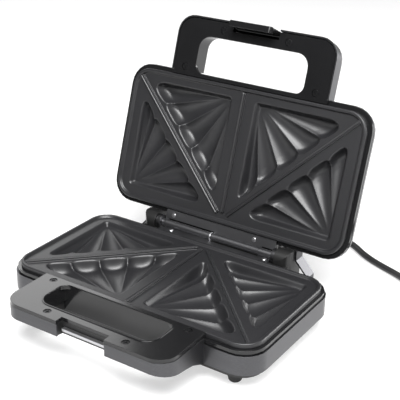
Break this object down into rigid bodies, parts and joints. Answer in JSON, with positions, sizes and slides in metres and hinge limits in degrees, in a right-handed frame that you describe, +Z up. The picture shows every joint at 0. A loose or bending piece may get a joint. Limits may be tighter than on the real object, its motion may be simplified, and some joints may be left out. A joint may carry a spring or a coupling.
{
  "type": "sandwich maker",
  "caption": "Open sandwich maker: hinged lid and base with fan-shaped pocket plates, split carry handle with swing latch, rear hinge and coiled mains lead.",
  "frame": {"origin": "middle of the footprint of the open appliance without its lead, on the surface it stands on", "axes": "+Z up, +X to the right seen from the handle side, -Y towards the user, so the handle points along -Y and the lid stands up at +Y"},
  "size_m": [0.4098, 0.3607, 0.2368],
  "materials": {
    "coating": "dark grey non-stick coating, semi-gloss",
    "steel": "fine brushed, satin",
    "bright_steel": "bright zinc plated",
    "aluminised": "dull aluminised sheet",
    "gloss_black": "gloss black heat-proof plastic",
    "satin_black": "satin black moulded plastic",
    "rubber": "matte black rubber",
    "cord_rubber": "satin black cable sheath",
    "ceramic": "unglazed",
    "red_lens": "gloss red lens",
    "green_lens": "gloss green lens"
  },
  "bodies": {
    "base": {"base_shell": "steel", "base_frame": "gloss_black", "base_grip": "satin_black", "lower_plate": "coating", "lower_element": "bright_steel", "lower_reflector": "aluminised", "bottom_cover": "satin_black", "thermostat": "aluminised", "thermal_fuse": "bright_steel", "terminal_block": "ceramic", "hinge_housing": "satin_black", "hinge_cheek_right": "steel", "hinge_cheek_left": "steel", "hinge_leaf_base": "steel", "hinge_pin": "bright_steel", "hinge_collar_left": "steel", "hinge_collar_right": "steel", "latch_strike": "steel", "foot_front_left": "rubber", "foot_front_right": "rubber", "foot_rear_left": "rubber", "foot_rear_right": "rubber", "strain_relief": "rubber", "base_screw_1": "bright_steel", "base_screw_2": "bright_steel", "base_screw_3": "bright_steel", "base_screw_4": "bright_steel", "base_rivet_1": "bright_steel", "base_rivet_2": "bright_steel", "cord": "cord_rubber", "cord_coil": "cord_rubber", "cord_tie": "satin_black", "plug": "satin_black"},
    "lid": {"lid_shell": "steel", "lid_frame": "gloss_black", "lid_grip": "satin_black", "upper_plate": "coating", "upper_element": "bright_steel", "upper_reflector": "aluminised", "power_lamp": "red_lens", "ready_lamp": "green_lens", "hinge_leaf_lid": "steel", "latch_pin": "bright_steel", "lid_screw_1": "bright_steel", "lid_screw_2": "bright_steel", "lid_screw_3": "bright_steel", "lid_screw_4": "bright_steel", "lid_rivet_1": "bright_steel", "lid_rivet_2": "bright_steel"},
    "latch": {"latch": "gloss_black"}
  },
  "joints": [
    {"name": "lid_hinge", "type": "hinge", "parent": "base", "child": "lid", "pos_m": [0, 0.0609, 0.0424], "axis": [1, 0, 0], "range_deg": [0, 107.75]},
    {"name": "latch_pivot", "type": "hinge", "parent": "lid", "child": "latch", "pos_m": [0, 0.12713, 0.22437], "axis": [1, 0, 0], "range_deg": [-20, 8]}
  ]
}
